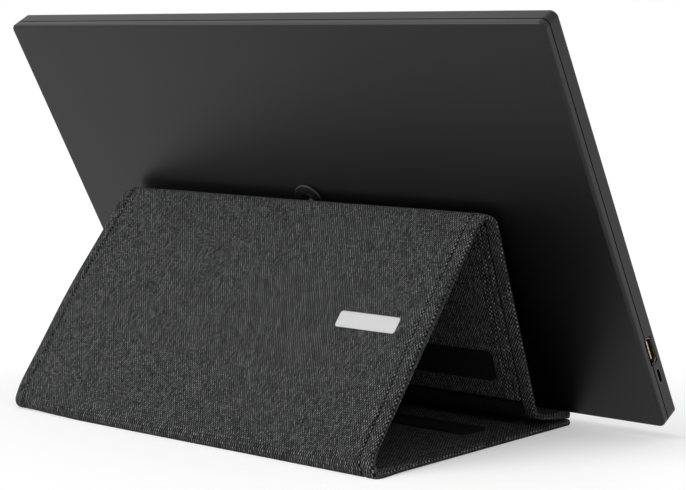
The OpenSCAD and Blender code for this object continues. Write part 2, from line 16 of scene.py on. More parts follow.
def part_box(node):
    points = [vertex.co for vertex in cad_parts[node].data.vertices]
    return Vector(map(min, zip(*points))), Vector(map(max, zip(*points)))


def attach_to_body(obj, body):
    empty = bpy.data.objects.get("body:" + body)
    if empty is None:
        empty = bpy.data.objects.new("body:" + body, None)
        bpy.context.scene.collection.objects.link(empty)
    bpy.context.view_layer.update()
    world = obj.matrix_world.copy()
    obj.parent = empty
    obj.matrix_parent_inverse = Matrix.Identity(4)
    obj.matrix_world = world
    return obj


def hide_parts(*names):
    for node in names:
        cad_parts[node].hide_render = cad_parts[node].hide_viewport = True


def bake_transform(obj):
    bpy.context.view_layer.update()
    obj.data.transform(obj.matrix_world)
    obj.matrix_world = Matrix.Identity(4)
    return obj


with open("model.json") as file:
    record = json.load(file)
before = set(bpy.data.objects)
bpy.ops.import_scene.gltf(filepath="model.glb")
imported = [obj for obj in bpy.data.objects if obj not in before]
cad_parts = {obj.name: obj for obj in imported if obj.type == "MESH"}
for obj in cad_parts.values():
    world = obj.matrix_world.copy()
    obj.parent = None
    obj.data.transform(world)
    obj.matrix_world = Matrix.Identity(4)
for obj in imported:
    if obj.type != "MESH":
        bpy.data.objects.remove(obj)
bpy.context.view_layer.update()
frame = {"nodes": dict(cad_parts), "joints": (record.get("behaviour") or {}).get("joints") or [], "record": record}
MM = 0.001
scene = bpy.context.scene

# %% [markdown]
# The camera comes before anything else. The photograph was taken with a long lens from behind
# the stand, a metre away and a little above it. The camera is aimed along a measured direction.

# %% Camera
lens_mm = 98.93
camera_place = Vector((-0.65239, 0.72411, 0.19973))
camera_pan = math.radians(40.55)
camera_drop = math.radians(6.42)
camera_aim = Vector((math.sin(camera_pan) * math.cos(camera_drop),
                     -math.cos(camera_pan) * math.cos(camera_drop), -math.sin(camera_drop)))
camera = bpy.data.objects.new("camera", bpy.data.cameras.new("camera"))
camera.data.lens = lens_mm
camera.data.sensor_width = 36
camera.location = camera_place
camera.rotation_euler = camera_aim.to_track_quat("-Z", "Y").to_euler()
scene.collection.objects.link(camera)
scene.camera = camera

# %% [markdown]
# `Field` wraps one output socket, so that `a * 2 + b` adds the Math nodes by itself. Numbers
# alone never reach a node: Python works them out.

# %% A socket that takes part in sums
class Field:
    def __init__(self, finish, socket):
        self.finish = finish
        self.socket = socket

    def math(self, operation, *others, flip=False):
        values = [self, *others]
        if flip:
            values = [*others, self]
        return self.finish.node("ShaderNodeMath", {"operation": operation}, dict(enumerate(values)))

    def __add__(self, other):
        return self.math("ADD", other)

    __radd__ = __add__

    def __sub__(self, other):
        return self.math("SUBTRACT", other)

    def __rsub__(self, other):
        return self.math("SUBTRACT", other, flip=True)

    def __mul__(self, other):
        return self.math("MULTIPLY", other)

    __rmul__ = __mul__

    def __truediv__(self, other):
        return self.math("DIVIDE", other)

    def __rtruediv__(self, other):
        return self.math("DIVIDE", other, flip=True)

    def clear(self):
        return self.finish.node("ShaderNodeClamp", {}, {"Value": self})


# %% [markdown]
# A finish is one material. Its `node` method makes any other node: the settings go in first,
# because they can change which sockets the node has, and then values or links go to sockets.

# %% A material being made
class Finish:
    def __init__(self, name, owner=None):
        self.material = owner or bpy.data.materials.new(name)
        self.material.use_nodes = True
        self.tree = self.material.node_tree
        self.tree.nodes.clear()

    def node(self, kind, settings, sockets, out=0):
        made = self.tree.nodes.new(kind)
        for key, value in settings.items():
            setattr(made, key, value)
        for key, value in sockets.items():
            if isinstance(value, Field):
                self.tree.links.new(value.socket, made.inputs[key])
            else:
                made.inputs[key].default_value = value
        return Field(self, made.outputs[out]) if made.outputs else None

    def mix(self, share, a, b):
        return self.node("ShaderNodeMix", {"data_type": "RGBA"}, {0: share, 6: a, 7: b}, out=2)

    def place(self):
        return self.node("ShaderNodeTexCoord", {}, {}, out="Object")

    def speckle(self, place, size, detail=2.0, rough=0.5):
        sockets = {"Vector": place, "Scale": 1 / size, "Detail": detail, "Roughness": rough}
        return self.node("ShaderNodeTexNoise", {"noise_dimensions": "3D"}, sockets)

    def bump(self, height, depth):
        return self.node("ShaderNodeBump", {}, {"Height": height, "Distance": depth, "Strength": 1.0})

    def surface(self, **sockets):
        named = {key.replace("_", " "): value for key, value in sockets.items()}
        shader = self.node("ShaderNodeBsdfPrincipled", {}, named)
        self.node("ShaderNodeOutputMaterial", {}, {"Surface": shader})
        return self.material


def grey(level, warmth=0.0):
    """A linear grey from an 8-bit screen grey, a little warmer or cooler."""
    value = (level / 255) ** 2.2
    return (value * (1 + warmth), value, value * (1 - warmth), 1)


# %% [markdown]
# The case is moulded in matte black plastic with a very fine spark texture. Two sizes of noise
# move its roughness and colour by a few hundredths, and a fine bump breaks the highlight.

# %% Moulded plastics
def moulded(name, level, rough, grain=0.35 * MM, depth=0.012 * MM, gloss=0.4):
    finish = Finish(name)
    place = finish.place()
    spark = finish.speckle(place, grain, detail=3.0)
    cloud = finish.speckle(place, 60 * MM, detail=3.0)
    tone = (spark * 0.35 + cloud * 0.65).clear()
    return finish.surface(
        Base_Color=finish.mix(tone, grey(level * 0.88), grey(level * 1.12)),
        Roughness=cloud * 0.10 + spark * 0.05 + (rough - 0.075),
        Normal=finish.bump(spark, depth), Specular_IOR_Level=gloss)


case_plastic = moulded("case_plastic", 13, 0.40, gloss=0.37)
rim_plastic = moulded("rim_plastic", 14, 0.38, gloss=0.3)
bezel_plastic = moulded("bezel_plastic", 18, 0.38)
button_plastic = moulded("button_plastic", 34, 0.36)
chip_plastic = moulded("chip_plastic", 26, 0.5, grain=0.2 * MM)
tape_film = moulded("tape_film", 9, 0.6, gloss=0.15)
switch_plastic = moulded("switch_plastic", 34, 0.45)
# seam_shadow is painted shade: a near-black for the shadow inside the case's parting gap.
seam_shadow = moulded("seam_shadow", 2, 0.8, gloss=0.02)

# %% [markdown]
# The screen is off, so it shows only its coating: nearly black, a little blue, with the fine
# sparkle of an anti-glare film. Lighter tones of the same recipe serve for the sheets inside.

# %% Films and sheets of the display
def film(name, colour, rough, sparkle=0.16 * MM, depth=0.004 * MM, share=0.12):
    finish = Finish(name)
    grain = finish.speckle(finish.place(), sparkle, detail=1.0)
    deep = tuple(c * (1 - share) for c in colour[:3]) + (1,)
    return finish.surface(
        Base_Color=finish.mix(grain, deep, colour),
        Roughness=grain * 0.08 + (rough - 0.04),
        Normal=finish.bump(grain, depth))


screen_coat = film("screen_coat", (0.0060, 0.0066, 0.0080, 1), 0.24, share=0.3)
cell_glass = film("cell_glass", (0.03, 0.035, 0.045, 1), 0.1)
diffuser_film = film("diffuser_film", (0.8, 0.8, 0.8, 1), 0.5)
guide_plastic = film("guide_plastic", (0.72, 0.78, 0.8, 1), 0.12)
reflector_film = film("reflector_film", (0.88, 0.88, 0.88, 1), 0.4)
light_phosphor = film("light_phosphor", (0.75, 0.66, 0.25, 1), 0.4)
circuit_mask = film("circuit_mask", (0.012, 0.07, 0.03, 1), 0.35, sparkle=1.2 * MM, share=0.5)
amber_film = film("amber_film", (0.32, 0.13, 0.02, 1), 0.3)
ribbon_film = film("ribbon_film", (0.55, 0.55, 0.52, 1), 0.4)
gap_rubber = film("gap_rubber", (0.12, 0.25, 0.3, 1), 0.6, sparkle=0.5 * MM)
board_card = film("board_card", (0.16, 0.13, 0.1, 1), 0.8, sparkle=0.6 * MM, share=0.4)

# %% [markdown]
# Metal parts are drawn, stamped or turned. Noise stretched along one direction gives the fine
# lines that the tool left, and they move the roughness more than the colour. The sockets' metal
# and the plating of the tripod insert are dark, to match the photograph.

# %% Metals
def metal(name, colour, rough, across=0.08 * MM, along=3 * MM, share=0.2):
    finish = Finish(name)
    stretch = (1 / across, 1 / along, 1 / across)
    place = finish.node("ShaderNodeVectorMath", {"operation": "MULTIPLY"},
                        {0: finish.place(), 1: stretch})
    lines = finish.speckle(place, 1.0, detail=2.0)
    worn = tuple(c * (1 - share) for c in colour[:3]) + (1,)
    return finish.surface(
        Base_Color=finish.mix(lines, worn, colour), Metallic=1.0,
        Roughness=lines * 0.16 + (rough - 0.08), Normal=finish.bump(lines, 0.003 * MM))


gilt_steel = metal("gilt_steel", (0.44, 0.38, 0.27, 1), 0.3)
contact_plate = metal("contact_plate", (0.72, 0.66, 0.5, 1), 0.35)
dark_steel = metal("dark_steel", (0.2, 0.2, 0.205, 1), 0.32)
dull_steel = metal("dull_steel", (0.5, 0.5, 0.5, 1), 0.4)
dark_plating = metal("dark_plating", (0.16, 0.15, 0.135, 1), 0.3)

# %% [markdown]
# The sleeve's cloth is a plain weave of mixed yarns, which are light grey, charcoal or almost
# black for a few millimetres at a time. The mesh carries a map in metres, so threads keep their
# size everywhere and stay on the cloth when a fold moves. One noise is drawn out along the
# length for the lengthwise yarns, which show most, and one across for the others.

# %% Yarns on the map in metres
weave_map = "weave"
warp_pitch, weft_pitch = 0.735 * MM, 1.147 * MM
row_steepness = 2.5


def map_axes(finish):
    spot = finish.node("ShaderNodeUVMap", {"uv_map": weave_map}, {})
    parts = finish.node("ShaderNodeSeparateXYZ", {}, {0: spot})
    return parts, Field(finish, parts.socket.node.outputs[1])


def yarn_noise(finish, across, along, wide, long, seed):
    place = finish.node("ShaderNodeCombineXYZ", {}, {0: across / wide, 1: along / long, 2: seed})
    return finish.node("ShaderNodeTexNoise", {"noise_dimensions": "3D"},
                       {"Vector": place, "Scale": 1.0, "Detail": 1.0, "Roughness": 0.5})


def steepen(finish, value, low, high):
    return finish.node("ShaderNodeMapRange", {"interpolation_type": "SMOOTHSTEP"},
                       {"Value": value, 1: low, 2: high})


# %% [markdown]
# A product of two sines is the weave itself. Where it is positive, a lengthwise yarn passes over,
# and where it is negative, a crosswise one does. The rows' sine is steepened and cut off, so the
# gaps between rows almost close and those between lengthwise yarns stay dark. Each cell also
# draws its own tone by chance, which is what mixed yarns look like.

# %% Woven cloth
def woven(name, dark, light, scale=1.0, rough=0.9, depth=0.1 * MM, chance_share=0.7):
    finish = Finish(name)
    across, along = map_axes(finish)
    warp, weft = warp_pitch * scale, weft_pitch * scale
    lengthwise = yarn_noise(finish, across, along, warp * 1.1, weft * 3.0, 1.7)
    crosswise = yarn_noise(finish, across, along, warp * 4.5, weft * 0.9, 5.3)
    rows = (along * (math.pi / weft)).math("SINE") * row_steepness
    rows = rows.math("MINIMUM", 1.0).math("MAXIMUM", -1.0)
    crossing = (across * (math.pi / warp)).math("SINE") * rows
    over = crossing.math("MAXIMUM", 0.0)
    under = (0.0 - crossing).math("MAXIMUM", 0.0)
    cell = finish.node("ShaderNodeCombineXYZ", {}, {0: (across / warp).math("FLOOR"),
                                                    1: (along / weft).math("FLOOR")})
    chance = finish.node("ShaderNodeTexWhiteNoise", {"noise_dimensions": "2D"}, {"Vector": cell})
    own_tone = chance * chance_share + (1.1 - chance_share)
    warp_tone = steepen(finish, lengthwise, 0.34, 0.62) * 0.6 + 0.34
    weft_tone = steepen(finish, crosswise, 0.42, 0.66) * 0.22 + 0.02
    shade = ((over * warp_tone + under * weft_tone) * own_tone).clear()
    height = (over + under * 0.7 + lengthwise * 0.5).clear()
    return finish.surface(
        Base_Color=finish.mix(shade, dark, light), Roughness=rough,
        Normal=finish.bump(height, depth), Specular_IOR_Level=0.15)


sleeve_cloth = woven("sleeve_cloth", grey(6, -0.02), grey(140, -0.012))
inner_cloth = woven("inner_cloth", grey(9, -0.02), grey(146, -0.012))
# The lining is a darker, finer weave. Besides the linings inside the panels, it is painted shade on the inner side
# of the toe crease and on the lean panel's inner face below the pocket's hem.
lining_and_painted_shade = woven("lining_and_painted_shade", grey(7), grey(50), scale=0.6)
seam_thread = woven("seam_thread", grey(9), grey(58), scale=0.2, depth=0.03 * MM)

# %% [markdown]
# Hook and loop strips look almost black. Their pile is a mat of fine loops: each cell of the
# pattern is one loop that stands over a dark gap.

# %% Hook and loop pile
def pile(name, dark, light, loop=0.5 * MM):
    finish = Finish(name)
    place = finish.place()
    cells = finish.node("ShaderNodeTexVoronoi", {"feature": "F1"}, {"Vector": place, "Scale": 1 / loop})
    fuzz = finish.speckle(place, loop * 0.6, detail=4.0, rough=0.7)
    lift = (1 - cells) * 0.6 + fuzz * 0.4
    return finish.surface(
        Base_Color=finish.mix(lift.clear(), dark, light), Roughness=0.95,
        Normal=finish.bump(lift, 0.3 * MM), Specular_IOR_Level=0.15)


hook_pile = pile("hook_pile", grey(4), grey(28), loop=0.8 * MM)
loop_pile = pile("loop_pile", grey(4), grey(28))

# %% [markdown]
# The print on the rear panel is a plain pale patch, a thin film pressed into the weave by heat,
# so the threads still show through it as small dents.

# %% Pale print
def pressed_print(name, level):
    finish = Finish(name)
    spot = finish.node("ShaderNodeUVMap", {"uv_map": weave_map}, {})
    grain = finish.speckle(spot, 0.6 * MM, detail=2.0)
    return finish.surface(
        Base_Color=finish.mix(grain, grey(level * 0.9), grey(level)),
        Roughness=grain * 0.1 + 0.45, Normal=finish.bump(grain, 0.05 * MM))


pale_print = pressed_print("pale_print", 205)

# %% [markdown]
# Each hard CAD node keeps its mesh and takes its finish. Smooth shading that keeps the sharp
# edges makes the rounded rims read well.

# %% Dress the CAD nodes
node_finish = {
    case_plastic: "rear_cover",
    rim_plastic: "front_housing",
    bezel_plastic: "front_bezel",
    screen_coat: "screen_film",
    cell_glass: "display_cell",
    diffuser_film: "display_films",
    guide_plastic: "light_guide",
    reflector_film: "reflector_sheet",
    light_phosphor: "light_strip",
    dull_steel: "panel_tray shield_can board_screws",
    tape_film: "panel_tape",
    circuit_mask: "drive_board main_board button_board",
    amber_film: "drive_flexes",
    ribbon_film: "panel_ribbon",
    chip_plastic: "control_chips video_socket_tongue oval_socket_tongue",
    gap_rubber: "thermal_pad",
    gilt_steel: "video_socket_shell",
    dark_steel: "oval_socket_shell",
    dark_plating: "tripod_insert",
    switch_plastic: "button_switches",
    button_plastic: "power_button menu_up_button menu_down_button",
    board_card: "toe_board lean_board rear_board base_board",
    lining_and_painted_shade: "lean_lining rear_lining base_lining",
}
for finish, names in node_finish.items():
    for name in names.split():
        mesh = frame["nodes"][name].data
        mesh.materials.clear()
        mesh.materials.append(finish)
        mesh.shade_smooth()
        mesh.set_sharp_from_angle(angle=math.radians(32))
print("dressed", sum(len(names.split()) for names in node_finish.values()), "CAD nodes")

# %% [markdown]
# The sleeve is one long strip of cloth over stiff boards. Seen from the side it runs from the
# base's free end to the rear foot, up to the top fold, down to the crease and out along the toe
# flap. Panels, folds, seams and strips all take their places from that run and so meet exactly.

# %% The strip's run in side view
joints = {joint["name"]: Vector(joint["pos_m"]) for joint in frame["joints"] if "pos_m" in joint}
sleeve_low, sleeve_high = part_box("rear_outer_cloth")
sleeve_middle = (sleeve_low.x + sleeve_high.x) / 2
half_width = (sleeve_high.x - sleeve_low.x) / 2
panel_thick = 3 * MM
foot_radius, apex_radius, crease_radius = 3.8 * MM, 6 * MM, 2.5 * MM
fold_slack = 1 * MM
toe_length, toe_slope = 31.3 * MM, math.radians(7)
rest_gap = 0.3 * MM
foot, apex = joints["base_fold"], joints["apex_fold"]
base_end = Vector((0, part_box("base_outer_cloth")[0].y, 0))


def outward(angle):
    return Vector((0, math.cos(angle), math.sin(angle)))


def direction(a, b):
    return math.atan2(b.z - a.z, b.y - a.y)


toe_end = base_end + Vector((0, 0, panel_thick * (1 + math.cos(toe_slope)) + rest_gap))
crease = toe_end + toe_length * outward(toe_slope)
rear_length = (apex - foot).length
rear_angle = direction(foot, apex) - math.acos((foot_radius - apex_radius) / rear_length)
lean_angle = direction(crease, apex) + math.asin(apex_radius / (apex - crease).length) + math.pi / 2
toe_angle = toe_slope + math.pi / 2
crease_turn = lean_angle - toe_angle
crease_bisector = outward((lean_angle + toe_angle) / 2)
crease_centre = crease + crease_radius / math.cos(crease_turn / 2) * crease_bisector
crease_cut = crease_radius * math.tan(crease_turn / 2)

# %% [markdown]
# The run is kept as a short list of stretches: a straight one has its start and its outward
# angle, and a bent one has its centre, its radius and two angles. The crease bends the other
# way, so its radius is negative and its centre lies outside the sleeve.

# %% Stretches of the run
stretches = []
marks = {}


def add_straight(mark, start, angle, length):
    begin = stretches[-1]["end"] if stretches else 0.0
    stretches.append({"start": start, "angle": angle, "begin": begin, "end": begin + length})
    marks[mark] = begin + length


def add_bend(mark, centre, radius, angle, to):
    begin = stretches[-1]["end"]
    length = abs(radius * (to - angle))
    stretches.append({"centre": centre, "radius": radius, "angle": angle, "to": to,
                      "begin": begin, "end": begin + length})
    marks[mark] = begin + length


add_straight("base", base_end, -math.pi / 2, foot.y - base_end.y)
add_bend("foot", foot, foot_radius, -math.pi / 2, rear_angle)
rear_run = math.sqrt(rear_length ** 2 - (apex_radius - foot_radius) ** 2)
add_straight("rear", foot + foot_radius * outward(rear_angle), rear_angle, rear_run)
add_bend("apex", apex, apex_radius, rear_angle, lean_angle)
lean_start = apex + apex_radius * outward(lean_angle)
add_straight("lean", lean_start, lean_angle, (crease - lean_start).length - crease_cut)
add_bend("crease", crease_centre, -crease_radius, lean_angle, toe_angle)
toe_start = crease + crease_cut * outward(toe_angle + math.pi / 2)
add_straight("toe", toe_start, toe_angle, toe_length - crease_cut)


def station(s):
    """The outer line's point and outward angle at distance s along the strip."""
    part = next((p for p in stretches if s <= p["end"]), stretches[-1])
    if "start" in part:
        along = outward(part["angle"] + math.pi / 2)
        return part["start"] + (s - part["begin"]) * along, part["angle"]
    share = (s - part["begin"]) / (part["end"] - part["begin"])
    angle = part["angle"] + share * (part["to"] - part["angle"])
    return part["centre"] + part["radius"] * outward(angle), angle


# %% [markdown]
# The sewn sleeve isn't a perfect strip. Its rear panel is drawn in by some millimetres on the
# right, where the cloth is stretched over the fold, and the side swings out again to the foot.
# `side_pull` holds those places as a few pairs of distance and inset, smoothed in between. On
# the left only the foot's end is drawn in, and `foot_share` says how much of it at each place.

# %% Where the sides are drawn in
pull_places = [
    (marks["base"], 0.0),
    (marks["foot"] + 7 * MM, 6.3 * MM),
    (marks["rear"] - 6 * MM, 6.3 * MM),
    (marks["apex"] + 2 * MM, 2.6 * MM),
    (marks["lean"], 0.2 * MM),
    (marks["toe"], 0.0),
]
pull_begin, pull_over = 68 * MM, 50 * MM
foot_pull, foot_reach = 3.2 * MM, 9 * MM
foot_pull_at = marks["foot"] - 5 * MM


def smooth(share):
    share = min(1.0, max(0.0, share))
    return share * share * (3 - 2 * share)


def hump(distance, spread):
    return math.exp(-(distance / spread) ** 2)


def foot_share(s):
    return hump(s - foot_pull_at, foot_reach)


def side_pull(s):
    if s <= pull_places[0][0]:
        return pull_places[0][1]
    for (s0, pull0), (s1, pull1) in zip(pull_places, pull_places[1:]):
        if s <= s1:
            return pull0 + (pull1 - pull0) * smooth((s - s0) / (s1 - s0))
    return pull_places[-1][1]


def on_sleeve(x, s, depth, drawn=True):
    """A point of the sleeve: x across, s along the strip, depth in from its outer face."""
    point, angle = station(s)
    if drawn and x < 0:
        x += side_pull(s) * smooth((-x - pull_begin) / pull_over)
    elif drawn:
        x -= foot_pull * foot_share(s) * smooth((x - pull_begin) / pull_over)
    return point - depth * outward(angle) + Vector((sleeve_middle + x, 0, 0))


def on_table(point):
    """The same point, flattened where the cloth would go below the table."""
    return Vector((point.x, point.y, max(point.z, 0.0)))


print("ends of the stretches, mm:", {mark: round(s * 1000, 1) for mark, s in marks.items()})

# %% [markdown]
# One helper makes every mesh. It takes points, faces and the map value of each face corner, which
# is the side view where none is given, and turns the faces outward by the sign of the closed
# mesh's volume, so no piece is inside out.

# %% Mesh from points and faces
def signed_volume(mesh):
    mesh.calc_loop_triangles()
    spots = np.array([v.co for v in mesh.vertices], float)
    a, b, c = (spots[[t.vertices[k] for t in mesh.loop_triangles]] for k in range(3))
    return float((a * np.cross(b, c)).sum()) / 6


def make_piece(name, points, faces, finishes, corners=None, finish_of_face=None):
    corners = corners or [(points[k].x, points[k].z) for face in faces for k in face]
    mesh = bpy.data.meshes.new(name)
    mesh.from_pydata([tuple(p) for p in points], [], faces)
    layer = mesh.uv_layers.new(name=weave_map)
    layer.data.foreach_set("uv", np.array(corners, np.float32).ravel())
    for finish in finishes:
        mesh.materials.append(finish)
    if finish_of_face:
        mesh.polygons.foreach_set("material_index", finish_of_face)
    if signed_volume(mesh) < 0:
        mesh.flip_normals()
    mesh.shade_smooth()
    mesh.set_sharp_from_angle(angle=math.radians(40))
    piece = bpy.data.objects.new(name, mesh)
    scene.collection.objects.link(piece)
    return piece


# %% [markdown]
# Cloth pieces are lofts: rings that run once round a section, first over the near face from left
# to right and then back over the far face. Flat caps close both ends. The map runs on round the
# edge without a break, so the yarns turn the edge as they do on the real welt.

# %% Loft of closed rings
def ring_piece(name, rings, around, along, finishes, far_columns=()):
    count = len(rings[0])
    half = count // 2
    points = [p for ring in rings for p in ring]
    faces, corners, marks_of = [], [], []
    for i in range(len(rings) - 1):
        for j in range(count):
            k = (j + 1) % count
            low, high = i * count, (i + 1) * count
            faces.append((low + j, low + k, high + k, high + j))
            corners += [(around[j], along[i]), (around[j + 1], along[i]),
                        (around[j + 1], along[i + 1]), (around[j], along[i + 1])]
            marks_of.append(1 if j in far_columns else 0)
    for i, turned in ((0, True), (len(rings) - 1, False)):
        for j in range(half - 1):
            near, far = i * count + j, (i + 1) * count - 1 - j
            cap = [near, near + 1, far - 1, far]
            spots = [(around[j], 0), (around[j + 1], 0)]
            spots += [(around[j + 1], panel_thick), (around[j], panel_thick)]
            faces.append(tuple(reversed(cap)) if turned else tuple(cap))
            corners += list(reversed(spots)) if turned else spots
            marks_of.append(0)
    return make_piece(name, points, faces, finishes, corners, marks_of)


# %% [markdown]
# Now the cloth's own shape. A real sleeve isn't a flat board: both sides have a rolled, sewn
# edge with a seam sunk in beside it, the middle is slightly uneven, the folds are softer at
# their two ends, and the free ends are rounded hems. Every one of these is a depth below the
# CAD's outer face. A bow is the other way: the rear panel, its foot, the crease and the toe
# flap's end stand out a little, and what would go below the table is flattened on it.

# %% Sizes of edges, seams and bows
edge_round = panel_thick / 2
seam_in = 7 * MM
seam_sink, seam_spread = 0.9 * MM, 0.7 * MM
hem_round = 1.5 * MM
corner_round = 4 * MM
soft_reach, soft_drop, soft_spread = 9 * MM, 1.1 * MM, 9 * MM
soft_middle = (marks["rear"] + marks["apex"]) / 2
toe_lift, toe_welt_lift = 0.36 * MM, 0.45 * MM
crease_bow, crease_spread = 0.9 * MM, 3.0 * MM
crease_middle = (marks["lean"] + marks["crease"]) / 2
rear_bow, rear_spread = 1.7 * MM, 34 * MM
rear_middle = (marks["foot"] + marks["rear"]) / 2
foot_bow, foot_spread, foot_fade = 2.2 * MM, 8 * MM, 60 * MM
foot_middle = (marks["base"] + marks["foot"]) / 2
print("rear panel's middle:", round(rear_middle * 1000, 1), "mm along the strip")

# %% [markdown]
# Each side of the cloth has one function for its depth at any place. The unevenness is noise of
# two sizes, and it calms down before the crease, where the monitor stands close by.

# %% Depth of the cloth's two faces
def unevenness(x, s, seed):
    broad = noise.noise(Vector((x / 0.05, s / 0.045, seed)))
    fine = noise.noise(Vector((x / 0.016, s / 0.014, seed + 7)))
    return (0.16 * (broad + 0.6) + 0.06 * (fine + 0.6)) * MM


def fold_softness(inset, s):
    return soft_drop * max(0.0, 1 - inset / soft_reach) ** 2 * hump(s - soft_middle, soft_spread)


def toe_depth(inset, s):
    """The toe flap lifts toward its end, most of all along its sewn sides."""
    welt = 1 - smooth((inset - 3 * MM) / (4 * MM))
    return -(toe_lift + toe_welt_lift * welt) * smooth((s - marks["crease"] - 7 * MM) / (14 * MM))


def outer_depth(x, s):
    inset = half_width - abs(x)
    bow = crease_bow * hump(s - crease_middle, crease_spread)
    if s > marks["lean"] - fold_slack:
        return toe_depth(inset, s) - bow
    depth = seam_sink * hump(inset - seam_in, seam_spread) + fold_softness(inset, s)
    if inset > seam_in:
        calm = 1 - smooth((s - marks["lean"] + 8 * MM) / (6 * MM))
        depth += (0.1 * MM + unevenness(x, s, 1.0)) * calm * smooth((inset - seam_in) / (5 * MM))
    if s < marks["rear"]:
        depth -= rear_bow * hump(s - rear_middle, rear_spread)
        depth -= foot_bow * hump(s - foot_middle, foot_spread) * smooth((half_width - x) / foot_fade)
    return depth * (1 - smooth((s - marks["lean"] + 5 * MM) / (4 * MM))) - bow


def inner_depth(x, s):
    inset = half_width - abs(x)
    sunk = seam_sink * hump(inset - seam_in, seam_spread)
    if inset > seam_in:
        sunk += unevenness(x, s, 4.0) * smooth((inset - seam_in) / (6 * MM))
    return sunk + crease_bow * hump(s - crease_middle, crease_spread)


# %% [markdown]
# The lean panel is also the pocket that holds the monitor when the sleeve is closed. Its inside
# is lower by the thickness of the pocket's own cloth, which is a sheet of its own further down.

# %% Room for the pocket's cloth
pocket_thick = 0.85 * MM
pocket_half = half_width - 7.3 * MM


def pocket_depth(x, s):
    inset = half_width - abs(x)
    recess = smooth((inset - seam_in) / (1.2 * MM)) * smooth((s - marks["apex"] - 1.2 * MM) / (2 * MM))
    recess *= smooth((marks["lean"] - 1.5 * MM - s) / (2 * MM))
    return inner_depth(x, s) + pocket_thick * recess


# %% [markdown]
# A ring has many points where the edge and the seam are, and few across the calm middle.

# %% Where a ring has its points
edge_steps = [0.01, 0.1, 0.3, 0.7, 1.2, 1.9, 2.8, 3.8, 4.8, 5.5, 6.0, 6.4,
              6.7, 7.0, 7.3, 7.6, 8.0, 8.6, 9.4, 10.5, 12, 14, 17, 20]
middle_steps = np.linspace(24 * MM, half_width, 32)[:-1].tolist()
from_edge = [step * MM for step in edge_steps] + middle_steps
across = [-(half_width - inset) for inset in from_edge] + [0.0]
across += [half_width - inset for inset in reversed(from_edge)]
hem_steps = [0.02, 0.1, 0.3, 0.6, 1.0, 1.5, 2.2, 3.0, 5.0, 5.8, 6.3, 6.7, 7.0, 7.3, 7.7, 8.2, 9.5]
hem_puff = 0.22 * MM
ring_columns = 2 * len(across)
inner_columns = {ring_columns - 1 - i for i, x in enumerate(across) if half_width - abs(x) > seam_in}
inner_columns -= {ring_columns - 1}
print("points in a ring:", ring_columns)

# %% [markdown]
# A section of the cloth is a ring at one distance along the strip. Both faces bend in at the two
# rolled sides, and near a free end the whole ring shrinks toward the middle of its thickness.

# %% Rings of a stretch of cloth
def hem_shape(distance):
    """At a free end: share of the thickness, loss of half the width, and sink of the hem's seam."""
    thick = math.sqrt(max(0.0, 1 - (1 - min(1.0, distance / hem_round)) ** 2))
    beside = max(0.0, corner_round - distance)
    narrow = corner_round - math.sqrt(max(0.0, corner_round ** 2 - beside ** 2))
    puff = hem_puff * hump(distance - 3.2 * MM, 2.2 * MM)
    return max(thick, 0.04), narrow, seam_sink * hump(distance - seam_in, seam_spread) - puff


def cloth_rings(begin, end, step, free_end=None, inside=inner_depth):
    places = np.linspace(begin, end, max(2, round((end - begin) / step) + 1)).tolist()
    if free_end is not None:
        places += [abs(free_end - h * MM) for h in hem_steps]
    places = sorted(set(round(p, 7) for p in places))
    rings = []
    for s in places:
        swell, narrow, sink = (1.0, 0.0, 0.0) if free_end is None else hem_shape(abs(s - free_end))
        outer, inner = [], []
        for x in across:
            inset = half_width - abs(x)
            beyond = max(0.0, edge_round - inset)
            bow = edge_round - math.sqrt(max(0.0, edge_round ** 2 - beyond ** 2))
            sewn = sink * smooth((inset - 3 * MM) / (3 * MM))
            top = min(bow + outer_depth(x, s) + sewn, panel_thick * 0.495)
            low = max(panel_thick - bow - inside(x, s) - sewn, panel_thick * 0.505)
            drawn_x = x * (1 - narrow / half_width)
            middle = panel_thick / 2
            outer.append(on_table(on_sleeve(drawn_x, s, middle + (top - middle) * swell)))
            inner.append(on_sleeve(drawn_x, s, middle + (low - middle) * swell))
        rings.append(outer + inner[::-1])
    turned = [2 * half_width + panel_thick - x for x in reversed(across)]
    spread = across + turned + [turned[-1] + panel_thick]
    return rings, [value + half_width for value in spread], places


# %% [markdown]
# Stitches are short raised dashes of thread. Each one is a small spindle with six sides that
# lies in the seam's groove, and all stitches of one seam are one mesh.

# %% Stitches
stitch_length, stitch_pitch, stitch_radius = 2.5 * MM, 3.4 * MM, 0.24 * MM
spindle = [(0.0, 0.3), (0.15, 0.85), (0.5, 1.0), (0.85, 0.85), (1.0, 0.3)]


def stitch_piece(name, spans):
    """spans are triples of a stitch's start, its end and the direction that it faces."""
    points, faces = [], []
    for start, end, normal in spans:
        first = len(points)
        run = end - start
        side = run.cross(normal).normalized()
        for share, swell in spindle:
            for k in range(6):
                turn = k * math.pi / 3
                offset = math.cos(turn) * side + math.sin(turn) * 0.8 * normal
                points.append(start + share * run + stitch_radius * swell * offset)
        for i in range(len(spindle) - 1):
            for k in range(6):
                low, high = first + 6 * i, first + 6 * i + 6
                faces.append((low + k, low + (k + 1) % 6, high + (k + 1) % 6, high + k))
        faces.append(tuple(first + k for k in reversed(range(6))))
        faces.append(tuple(first + 6 * len(spindle) - 6 + k for k in range(6)))
    return make_piece(name, points, faces, [seam_thread])


# %% [markdown]
# A seam is a list of such spans. One helper gives a stitch that runs across the sleeve and one
# gives a stitch along it, and the sides and the hems are rows of them on both faces.

# %% Rows of stitches
stitch_sink = 0.42 * MM
hem_stitch_sink = 0.4 * MM


def even_steps(begin, end):
    count = max(1, int((end - begin) / stitch_pitch))
    return [begin + (k + 0.5) * (end - begin) / count for k in range(count)]


def span_across(x, s, depth, facing):
    half = stitch_length / 2
    return on_sleeve(x - half, s, depth), on_sleeve(x + half, s, depth), facing


def span_along(x, s, depth, facing):
    half = stitch_length / 2
    return on_sleeve(x, s - half, depth), on_sleeve(x, s + half, depth), facing


